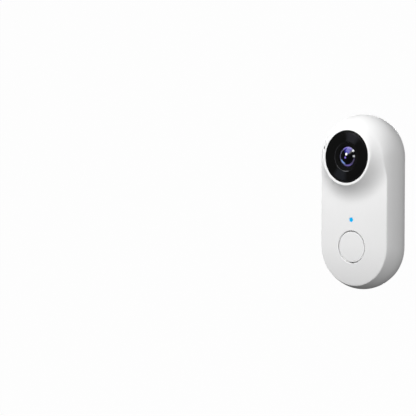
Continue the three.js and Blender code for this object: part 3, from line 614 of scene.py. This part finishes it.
# Carries a hole's rim down through the wall: first round its edge, then along a profile of
# radius and depth.
def sinkWall(bm, ring, centreZ, hole, rounding, profile):
    angles = [math.atan2(v.co.z - centreZ, v.co.x) for v in ring]
    starts = [v.co.y for v in ring]
    steps = 5

    def spot(j, radius, y):
        return Vector((radius * math.cos(angles[j]), y, centreZ + radius * math.sin(angles[j])))

    for step in range(1, steps + 1):
        bend = math.pi / 2 * step / steps
        radius, drop = hole + rounding * (1 - math.sin(bend)), rounding * (1 - math.cos(bend))
        ring = nextRing(bm, ring, lambda j: spot(j, radius, starts[j] + drop))
    for radius, y in profile:
        ring = nextRing(bm, ring, lambda j: spot(j, radius, y))
    return ring


def housingShell():
    bm = bmesh.new()
    wall = casing["faceWall"]
    eyeRing, lampRing, bellRing = patchBounds(faceEdge)
    start = growPatch(bm, eye["pocket"] + eye["round"], eyeRing, eye["z"], facePoint,
                      [eye["lipOuter"] - 0.25, eye["lipOuter"], eye["lipOuter"] + 0.2], shell["eyeRings"])
    sinkWall(bm, start, eye["z"], eye["pocket"], eye["round"], [
        (eye["pocket"], eye["pocketFloor"]), (eye["ledge"], eye["pocketFloor"]),
        (eye["ledge"], eye["ledgeFloor"]), (eye["well"], eye["ledgeFloor"]), (eye["well"], wall)])
    start = growPatch(bm, lamp["hole"] + lamp["round"], lampRing, lamp["z"], facePoint,
                      [lamp["hole"] + 0.5], shell["lampRings"], even=True)
    sinkWall(bm, start, lamp["z"], lamp["hole"], lamp["round"], [(lamp["hole"], wall)])
    start = growPatch(bm, bell["hole"] + bell["round"], bellRing, bell["z"], facePoint,
                      [bell["hole"] + bell["round"] + 0.15, bell["hole"] + 0.8], shell["bellRings"])
    sinkWall(bm, start, bell["z"], bell["hole"], bell["round"], [(bell["hole"], wall)])
    inside = patchBounds(innerEdge)
    for hole, bounds, z, rings, even in ((eye["well"], inside[0], eye["z"], 5, False),
                                         (lamp["hole"], inside[1], lamp["z"], 3, True),
                                         (bell["hole"], inside[2], bell["z"], 4, False)):
        growPatch(bm, hole, bounds, z, lambda px, pz: Vector((px, wall, pz)), [hole + 0.5], rings, even)
    growSides(bm)
    return bm


# The rounded crease, the side down to the back edge, the rim and the inner wall.
def growSides(bm):
    count = len(spots)

    def edgePoints(j):
        x, z = faceEdge(j)
        corner = outlinePoint(spots[j], creases[j])
        cornerY = -pebbleHeight(creases[j])
        sideY = cornerY + casing["creaseRound"]
        side = outlinePoint(spots[j], sideHalf(sideY))
        return (facePoint(x, z), Vector((corner[0], cornerY, corner[1])),
                Vector((side[0], sideY, side[1])))

    corners = [edgePoints(j) for j in range(count)]

    def at(j, y, half):
        x, z = outlinePoint(spots[j], half)
        return Vector((x, y, z))

    ring = firstRing(bm, count, lambda j: corners[j][0])
    for step in range(1, 5):
        t = step / 4
        ring = nextRing(bm, ring, lambda j: corners[j][0] * (1 - t) ** 2
                        + corners[j][1] * 2 * t * (1 - t) + corners[j][2] * t * t)
    for step in range(1, shell["bellyRings"] + 1):
        t = step / shell["bellyRings"]

        def down(j):
            y = corners[j][2].y + (casing["belly"] - corners[j][2].y) * t
            return at(j, y, sideHalf(y))
        ring = nextRing(bm, ring, down)
    backStart = casing["depth"] - casing["fillet"]
    for step in range(1, shell["backRings"] + 1):
        y = casing["belly"] + (backStart - casing["belly"]) * step / shell["backRings"]
        ring = nextRing(bm, ring, lambda j: at(j, y, sideHalf(y)))
    backHalf = casing["half"] - casing["taper"]
    for step in range(1, 7):
        angle = math.pi / 2 * step / 6
        y = backStart + casing["fillet"] * math.sin(angle)
        half = backHalf - casing["fillet"] * (1 - math.cos(angle))
        ring = nextRing(bm, ring, lambda j: at(j, y, half))
    for half, y in ((casing["rim"], casing["depth"]),
                    (casing["rimInner"], casing["depth"] - casing["rimRound"]),
                    (casing["rimInner"], casing["seat"]), (casing["cavity"], casing["seat"]),
                    (casing["cavity"], casing["faceWall"])):
        ring = nextRing(bm, ring, lambda j: at(j, y, half))


# The casing's lower end surface at x and y, inset towards the middle.
def endSurface(x, y, inset):
    half = sideHalf(y) - inset
    return -casing["arc"] - math.sqrt(half ** 2 - x ** 2)


# A curved slab at the lower end, between two surfaces given as functions of x and y.
def bottomSlab(x0, x1, y0, y1, top, bottom, steps=(24, 6)):
    bm = bmesh.new()
    bmesh.ops.create_grid(bm, x_segments=steps[0], y_segments=steps[1], size=0.5)
    verts = list(bm.verts)
    places = [(x0 + (x1 - x0) * (v.co.x + 0.5), y0 + (y1 - y0) * (v.co.y + 0.5)) for v in verts]
    for vert, (x, y) in zip(verts, places):
        vert.co = (x, y, top(x, y))
    grown = bmesh.ops.extrude_face_region(bm, geom=list(bm.faces))["geom"]
    for vert in grown:
        if isinstance(vert, bmesh.types.BMVert):
            vert.co.z = bottom(vert.co.x, vert.co.y)
    bmesh.ops.recalc_face_normals(bm, faces=bm.faces)
    return bm


port = {"x": -2.0, "width": 8.9, "height": 3.2, "y": 10.6, "flapHalf": 8.5, "flapHeight": 4.8,
        "flapThick": 1.5, "flapRound": 0.18, "plugSlip": 0.35, "plugLow": -48.0, "plugHigh": -46.9,
        "resetX": 6.2, "resetHole": 1.25, "clear": 0.25, "clearTall": 0.2, "low": -48.6, "high": -43.0,
        "corner": 1.2}
micSpot = {"reach": eye["lipOuter"] + 1.1, "turn": 18.8, "radius": 0.9, "from": -9,
           "to": 2.4, "sunk": 0.06, "shadeDisc": 0.25, "slip": 0.03}
micSpot["x"] = -micSpot["reach"] * math.cos(math.radians(micSpot["turn"]))
micSpot["z"] = eye["z"] + micSpot["reach"] * math.sin(math.radians(micSpot["turn"]))
speaker = {"z": -8.0, "y": 8.85, "pitch": 3.2, "width": 1.3, "height": 6.4, "count": 5,
           "outside": -26.5, "inside": -20.0, "round": 0.6}


def floorInset():
    y = port["y"] + port["flapHeight"] / 2
    return sideHalf(y) - port["flapThick"]


def floorSurface(x, y, extra=0.0):
    return -casing["arc"] - math.sqrt((floorInset() + extra) ** 2 - x ** 2)


def housingCuts():
    tools = [addRod(bmesh.new(), micSpot["radius"], (micSpot["x"], micSpot["from"], micSpot["z"]),
                    (micSpot["x"], micSpot["to"], micSpot["z"]), 24)]
    for i in range(speaker["count"]):
        z = speaker["z"] + speaker["pitch"] * (i - (speaker["count"] - 1) / 2)
        tools.append(addBlock(bmesh.new(), speaker["outside"], speaker["inside"],
                              speaker["y"] - speaker["height"] / 2, speaker["y"] + speaker["height"] / 2,
                              z - speaker["width"] / 2, z + speaker["width"] / 2, speaker["round"]))
    half, clear = port["flapHalf"] + port["clear"], port["clear"]
    y0 = port["y"] - port["flapHeight"] / 2 - clear
    y1 = port["y"] + port["flapHeight"] / 2 + clear
    tools.append(bottomSlab(-half, half, y0, y1, lambda x, y: floorSurface(x, y, -clear),
                            lambda x, y: -casing["arc"] - casing["half"] - 2))
    wide, tall = port["width"] / 2 + clear, port["height"] / 2 + port["clearTall"]
    tools.append(addBlock(bmesh.new(), port["x"] - wide, port["x"] + wide, port["y"] - tall,
                          port["y"] + tall, port["low"], port["high"], port["corner"]))
    tools.append(addRod(bmesh.new(), port["resetHole"], (port["resetX"], port["y"], port["low"]),
                        (port["resetX"], port["y"], port["high"]), 32))
    return tools


print("front housing")
piece("housingShell", carve(housingShell(), housingCuts()), "unit", satinShell,
      ["front_housing"], angle=32)


# A black disc just under the mouth of the microphone's hole, following the slope: painted shade that makes
# the hole read dark.
def micHoleShadeDisc():
    bm = bmesh.new()
    radius = micSpot["radius"] - micSpot["slip"]
    ring = bmesh.ops.create_circle(bm, cap_ends=True, segments=32, radius=radius)["verts"]
    bmesh.ops.rotate(bm, verts=ring, cent=(0, 0, 0), matrix=Matrix.Rotation(math.pi / 2, 3, "X"))
    bmesh.ops.translate(bm, verts=ring, vec=(micSpot["x"], 0, micSpot["z"]))
    grown = bmesh.ops.extrude_face_region(bm, geom=list(bm.faces))["geom"]
    backs = {g for g in grown if isinstance(g, bmesh.types.BMVert)}
    for vert in bm.verts:
        depth = micSpot["sunk"] + (micSpot["shadeDisc"] if vert in backs else 0)
        vert.co.y = facePoint(vert.co.x, vert.co.z).y + depth
    return bm


piece("micHoleShadeDisc", micHoleShadeDisc(), "unit", mattBlack, recalc=True)

print("camera eye")
window = {"hole": 8.0, "rim": 13.6, "front": -6.3, "back": -4.8, "proud": 0.15, "slip": 0.03}


def windowDisc():
    front, back = window["front"], window["back"]
    return turned(0, eye["z"], [[window["hole"], front, 0.12], [window["rim"], front, 0.05],
                                [window["rim"], back], [window["hole"], back]], 144, True)


def windowRim():
    front, back = window["front"] - window["proud"], window["back"]
    inner, outer = window["rim"] + 0.02, eye["pocket"] - window["slip"]
    return turned(0, eye["z"], [[inner, front + 0.1], [window["rim"] + 0.1, front, 0.03],
                                [outer, front, 0.04], [outer, back], [inner, back]], 144, True)


piece("windowDisc", windowDisc(), "unit", smokedWindowPaintedReflections, ["camera_window"])
piece("windowRim", windowRim(), "unit", mattBlack)

lens = {"radius": 5.6, "edge": -5.1, "bulge": 1.25, "thick": 1.4, "slip": 0.03}
hood = {"outer": 7.85, "inner": lens["radius"] + 0.32, "front": window["front"] + 0.06, "back": -5.07,
        "lip": 0.32, "fall": 0.7, "ridge": 0.08, "ridges": 5}


# A shallow cone stepped with fine ridges that kill glare.
def lensHood():
    top = hood["outer"] - hood["lip"]
    points = [[hood["outer"], hood["front"] + 0.02, 0.06], [top, hood["front"], 0.06]]
    for i in range(hood["ridges"]):
        t = (i + 1) / hood["ridges"]
        radius = top + (hood["inner"] - top) * t
        y = hood["front"] + hood["fall"] * t
        points += [[radius, y - hood["ridge"]], [radius, y]]
    points += [[hood["inner"], hood["back"]], [hood["outer"], hood["back"]]]
    return turned(0, eye["z"], points, 96, True)


piece("lensHood", lensHood(), "unit", blackRubber, ["lens_hood"], angle=25)


# The glass's front, from its middle out to its edge.
def domeProfile(radius, edge, sag, steps=16):
    curve = (radius ** 2 + sag ** 2) / (2 * sag)
    rows = []
    for i in range(steps + 1):
        r = radius * i / steps
        rows.append([r, edge - sag + curve - math.sqrt(curve ** 2 - r ** 2)])
    return rows


def frontLens():
    radius, back = lens["radius"] - lens["slip"], lens["edge"] + lens["thick"]
    points = domeProfile(radius, lens["edge"], lens["bulge"]) + [[radius, back], [0, back]]
    return turned(0, eye["z"], points, 96)


piece("frontLens", frontLens(), "unit", lensGlassPaintedReflections, ["front_lens"])

print("button and lamp")


# The cap's front has rings enough to follow the crown of the face round it, a touch below it.
def buttonCap():
    face, edge = -casing["crown"] + bell["sunk"], bell["hole"] - bell["gap"]
    flange, front, back, rings = bell["flange"], bell["flangeFront"], bell["flangeBack"], 8
    points = [[edge * i / rings, face] for i in range(rings)]
    points += [[edge, face, 0.2], [edge, front], [flange, front, 0.1], [flange, back, 0.1], [0, back]]
    bm = turned(0, bell["z"], points, 144)
    for vert in bm.verts:
        if vert.co.y < 1.0:
            vert.co.y += casing["crown"] - faceHeight(vert.co.x, vert.co.z)
    return bm


def lampPipe():
    radius, collar, front, back = lamp["radius"], lamp["collar"], lamp["collarFront"], lamp["collarBack"]
    points = [[0, lamp["middle"]], [radius, lamp["edge"], 0.12], [radius, front], [collar, front],
              [collar, back], [radius, back], [radius, lamp["back"]], [0, lamp["back"]]]
    return turned(0, lamp["z"], points, 48)


piece("buttonCap", buttonCap(), "button", satinCap, ["bell_button"])
piece("lampPipe", lampPipe(), "unit", bluePipe, ["status_light_pipe"])

print("back and wall side")
hooks = {"x": 14.5, "upper": 22.0, "lower": -casing["arc"] - 2.0, "width": 5.0, "stem": 2.0, "lip": 5.0,
         "thick": 1.0, "lift": 6.0, "slip": 0.3}
coverScrews = {"x": 0.64 * casing["cavity"], "reach": casing["cavity"] - 1.0, "hole": 1.1, "sink": 2.0,
               "sinkFront": 15.95, "head": 16.9, "tip": 10.1, "headRadius": 1.8, "headThick": 0.9,
               "thread": 0.9, "root": 0.72, "pitch": 0.5, "slotHalf": 0.2, "slotReach": 1.0, "slotDeep": 0.45}
coverScrews["z"] = casing["arc"] + math.sqrt(coverScrews["reach"] ** 2 - coverScrews["x"] ** 2)
cover = {"half": 21.0, "front": 15.2, "back": 17.0}
plate = {"half": 19.0, "thick": 2.2, "pad": 0.8, "padInset": 2, "screws": (30.0, -18.0), "screwHead": 4.2,
         "screwHole": 2.2, "sinkDeep": 2}
wallY = -creaseY
plateFront = wallY - plate["pad"] - plate["thick"]


def hookPlaces():
    return [(side * hooks["x"], z) for z in (hooks["upper"], hooks["lower"]) for side in (-1, 1)]


def screwPlaces():
    return [(sx * coverScrews["x"], sz * coverScrews["z"]) for sz in (1, -1) for sx in (-1, 1)]


def rearCover():
    tools = []
    wide = hooks["width"] / 2 + hooks["slip"]
    for x, z in hookPlaces():
        tools.append(addBlock(bmesh.new(), x - wide, x + wide, 10, 20,
                              z - hooks["stem"] - hooks["lift"] - hooks["slip"], z + 0.05, 0.4))
    for x, z in screwPlaces():
        tools.append(addRod(bmesh.new(), coverScrews["hole"], (x, 10, z), (x, 20, z), 32))
        tools.append(addRod(bmesh.new(), coverScrews["sink"], (x, coverScrews["sinkFront"], z),
                            (x, 20, z), 48))
    return carve(pillPrism(cover["half"], cover["front"], cover["back"], 0.3, 144), tools)


piece("rearCover", rearCover(), "unit", greyBack, ["rear_cover"])


def wallPlate():
    bm = pillPrism(plate["half"], plateFront, plateFront + plate["thick"], 0.35, 144)
    head, hole, sink = plate["screwHead"], plate["screwHole"], plateFront + plate["sinkDeep"]
    tools = [turned(0, z, [[0, plateFront - 1], [head, plateFront - 1], [head, plateFront], [hole, sink],
                           [hole, sink + 2], [0, sink + 2]], 64)
             for z in plate["screws"]]
    bm = carve(bm, tools)
    inner = cover["front"] - hooks["slip"]
    for x, z in hookPlaces():
        x0, x1 = x - hooks["width"] / 2, x + hooks["width"] / 2
        addBlock(bm, x0, x1, inner - hooks["thick"], plateFront + 0.4, z - hooks["stem"], z, 0.2)
        addBlock(bm, x0, x1, inner - hooks["thick"], inner, z - hooks["stem"], z + hooks["lip"], 0.3)
    return bm


piece("wallPlate", wallPlate(), "wall_mount", greyBack, ["wall_plate"])
piece("foamPad", pillPrism(plate["half"] - plate["padInset"], wallY - plate["pad"] + 0.05, wallY, 0.12, 144),
      "wall_mount", closedFoam, ["adhesive_pad"])


# A small pan head screw with a cross recess, its thread cut as fine ridges.
def panScrew(x, z):
    head, tip, under = coverScrews["head"], coverScrews["tip"], coverScrews["head"] - coverScrews["headThick"]
    thread, root, wide = coverScrews["thread"], coverScrews["root"], coverScrews["headRadius"]
    points = [[0, tip], [0.35, tip], [0.85, tip + 0.7]]
    y = tip + 0.7
    while y < head - 1.3:
        points += [[thread, y + 0.12], [root, y + 0.28], [thread, y + 0.44]]
        y += coverScrews["pitch"]
    points += [[thread, under], [wide, under, 0.15], [wide, head - 0.15, 0.25], [0, head]]
    long, thin, deep = coverScrews["slotReach"], coverScrews["slotHalf"], head - coverScrews["slotDeep"]
    cross = [addBlock(bmesh.new(), x - dx, x + dx, deep, head + 1, z - dz, z + dz, 0.05)
             for dx, dz in ((long, thin), (thin, long))]
    return carve(turned(x, z, points, 32), cross)


for i, (x, z) in enumerate(screwPlaces()):
    piece(f"coverScrew{i + 1}", panScrew(x, z), "unit", zincSteel,
          [f"housing_screw_{i + 1}"], angle=30)

print("port")


def portFlap():
    half = port["flapHalf"]
    y0, y1 = port["y"] - port["flapHeight"] / 2, port["y"] + port["flapHeight"] / 2
    bm = bottomSlab(-half, half, y0, y1, floorSurface, lambda x, y: endSurface(x, y, 0.02), (32, 8))
    rims = [e for e in bm.edges if len(e.link_faces) == 2 and e.calc_face_angle(0) > 1.0]
    bmesh.ops.bevel(bm, geom=rims, offset=port["flapRound"], offset_type="OFFSET", affect="EDGES", segments=2,
                    profile=0.5, material=-1)
    wide, tall = port["width"] / 2 - port["plugSlip"], port["height"] / 2 - port["plugSlip"]
    return addBlock(bm, port["x"] - wide, port["x"] + wide, port["y"] - tall, port["y"] + tall,
                    port["plugLow"], port["plugHigh"], 0.3)


piece("portFlap", portFlap(), "flap", whiteSilicone, ["port_cover"])


socket = {"wall": 0.3, "deep": 1.2, "round": 1.2, "innerRound": 0.95, "tongueInset": 1.3, "tongueHalf": 0.33,
          "tongueLow": 0.6, "tongueHigh": 1.0}


# A rounded sheet metal mouth with its contact tongue.
def socketShell():
    low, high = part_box("port_socket")
    x0, x1 = low.x * 1000, high.x * 1000
    y0, y1 = low.y * 1000 - creaseY, high.y * 1000 - creaseY
    z0, z1 = low.z * 1000, high.z * 1000
    wall, inset, thin = socket["wall"], socket["tongueInset"], socket["tongueHalf"]
    outer = addBlock(bmesh.new(), x0, x1, y0, y1, z0, z1)
    mouth = addBlock(bmesh.new(), x0 + wall, x1 - wall, y0 + wall, y1 - wall, z0 - 1, z1 - socket["deep"])
    for bm, offset in ((outer, socket["round"]), (mouth, socket["innerRound"])):
        corners = [e for e in bm.edges if abs(e.verts[0].co.z - e.verts[1].co.z) > 1]
        bmesh.ops.bevel(bm, geom=corners, offset=offset, offset_type="OFFSET", affect="EDGES", segments=6,
                        profile=0.5, material=-1)
    middle = (y0 + y1) / 2
    return addBlock(carve(outer, [mouth]), x0 + inset, x1 - inset, middle - thin, middle + thin,
                    z0 + socket["tongueLow"], z1 - socket["tongueHigh"], 0.12)


piece("socketShell", socketShell(), "unit", zincSteel, ["port_socket"])

print("inner finishes")
finishes = {
    "housing_seal": blackRubber, "camera_screw_1": zincSteel, "camera_screw_2": zincSteel,
    "board_screw_1": zincSteel, "board_screw_2": zincSteel, "lens_barrel": anodisedBlack,
    "rear_lens": lensGlassPaintedReflections, "lens_holder": mattBlack, "ir_filter": lensGlassPaintedReflections, "image_sensor": chipEpoxy,
    "camera_board": greenBoard, "camera_flex": amberFilm, "lamp_board": greenBoard,
    "lamp_flex": amberFilm, "light_sensor": chipEpoxy, "main_board": greenBoard, "shield_can": zincSteel,
    "radio_module": zincSteel, "power_inductor": chipEpoxy, "battery_cell": cellFoil,
    "battery_plug": satinCap, "battery_lead_red": redSleeve, "battery_lead_black": blackSleeve,
    "antenna": amberFilm, "antenna_cable": blackSleeve, "mic_gasket": closedFoam, "microphone": zincSteel,
    "mic_board": greenBoard, "mic_flex": amberFilm, "speaker_gasket": closedFoam, "speaker_frame": mattBlack,
    "speaker_cone": mattBlack, "speaker_magnet": zincSteel, "status_led": chipEpoxy,
    "button_membrane": whiteSilicone, "bell_switch": chipEpoxy, "bell_switch_stem": satinCap,
    "port_board": greenBoard, "reset_key": mattBlack, "reset_switch": chipEpoxy,
}
for i in range(4):
    finishes[f"ir_lamp_{i + 1}"] = chipEpoxy
for name, material in finishes.items():
    slots = frame["nodes"][name].data.materials
    slots.clear()
    slots.append(material)

print("stage")
stage = {"radius": 1.6, "lip": 3.0, "drop": 0.45, "tone": "#FFFFFF", "shade": "#FDFDFD", "pulp": "#2E2E2E",
         "glow": 0.985, "sky": 0.135}


# A pale round floor that sweeps up at its edge, so no horizon shows. It is lit from within,
# so that it stays evenly pale, and throws no light back up at the doorbell. It lies well
# below, because the doorbell hangs on a wall and its underside is seen too.
def paperFloor():
    bm = bmesh.new()
    points = [[0, 0], [stage["radius"] * 0.5, 0], [stage["radius"], 0, 0.5], [stage["radius"], stage["lip"]]]
    profile = roundCorners(points)
    verts = [bm.verts.new((p.x, 0, cadBox[0].z - stage["drop"] + p.y)) for p in profile]
    edges = [bm.edges.new(pair) for pair in zip(verts, verts[1:])]
    bmesh.ops.spin(bm, geom=verts + edges, cent=(0, 0, 0), axis=(0, 0, 1), angle=2 * math.pi,
                   steps=96, use_merge=True)
    bmesh.ops.remove_doubles(bm, verts=bm.verts, dist=0.0001)
    for face in bm.faces:
        face.smooth = True
    mesh = bpy.data.meshes.new("floor")
    bm.to_mesh(mesh)
    bm.free()
    floor = bpy.data.objects.new("floor", mesh)
    bpy.context.scene.collection.objects.link(floor)
    material, tree, shade, place = startMaterial("matt pale paper", {
        "Roughness": 0.9, "Base Color": colour(stage["pulp"]), "Emission Strength": stage["glow"]})
    fibre = addNode(tree, "ShaderNodeTexNoise", {"Scale": perMm(3), "Detail": 4}, {"Vector": place})
    tone = addNode(tree, "ShaderNodeMix", {"data_type": "RGBA", 6: colour(stage["shade"]),
                                           7: colour(stage["tone"])}, {0: fibre.outputs["Fac"]})
    tree.links.new(tone.outputs[2], shade.inputs["Emission Color"])
    mesh.materials.append(material)
    floor.visible_diffuse = False
    floor.visible_glossy = False


# A soft round light at a direction and distance from the doorbell. Its strength is the
# brightness that it gives to white paper turned towards it.
def softLight(name, toward, distance, size, strength):
    light = bpy.data.lights.new(name, "AREA")
    light.shape = "DISK"
    light.size = size
    light.energy = strength * math.pi ** 2 * distance ** 2
    obj = bpy.data.objects.new(name, light)
    place = Vector(toward).normalized() * distance
    obj.location = place
    obj.rotation_mode = "QUATERNION"
    obj.rotation_quaternion = (-place).to_track_quat("-Z", "Y")
    obj.visible_camera = False
    bpy.context.scene.collection.objects.link(obj)


paperFloor()
lights = {
    "key": {"toward": (-0.34, -0.76, 0.52), "distance": 0.42, "size": 0.26, "strength": 0.88},
    "fill": {"toward": (1.0, -0.5, 0.3), "distance": 0.5, "size": 0.3, "strength": 0.38},
    "top": {"toward": (0.0, -0.35, 1.0), "distance": 0.6, "size": 0.4, "strength": 0.1},
    "rear": {"toward": (-0.8, 1.0, 0.05), "distance": 0.8, "size": 0.5, "strength": 0.8},
}
for name, light in lights.items():
    softLight(name, **light)
world = bpy.data.worlds.new("studio")
world.use_nodes = True
sky = world.node_tree.nodes["Background"]
sky.inputs["Color"].default_value = (1, 1, 1, 1)
sky.inputs["Strength"].default_value = stage["sky"]
bpy.context.scene.world = world
bpy.context.scene.view_settings.view_transform = "Standard"

view = {"azimuth": 36.11, "elevation": 1.23, "distance": 0.503, "pan": 9.99, "tilt": 0.43, "lens": 75.43,
        "pivot": 8.0}


def placeCamera():
    a, e = math.radians(view["azimuth"]), math.radians(view["elevation"])
    back = Vector((math.sin(a) * math.cos(e), -math.cos(a) * math.cos(e), math.sin(e)))
    side = Vector((math.cos(a), math.sin(a), 0))
    up = back.cross(side)
    pan, tilt = math.radians(view["pan"]), math.radians(view["tilt"])
    panned = back * math.cos(pan) + side * math.sin(pan)
    facing = panned * math.cos(tilt) + up * math.sin(tilt)
    camera = bpy.data.cameras.new("camera")
    camera.lens = view["lens"]
    obj = bpy.data.objects.new("camera", camera)
    obj.location = Vector((0, (creaseY + view["pivot"]) / 1000, 0)) + back * view["distance"]
    obj.rotation_mode = "QUATERNION"
    obj.rotation_quaternion = (-facing).to_track_quat("-Z", "Y")
    bpy.context.scene.collection.objects.link(obj)
    bpy.context.scene.camera = obj


placeCamera()
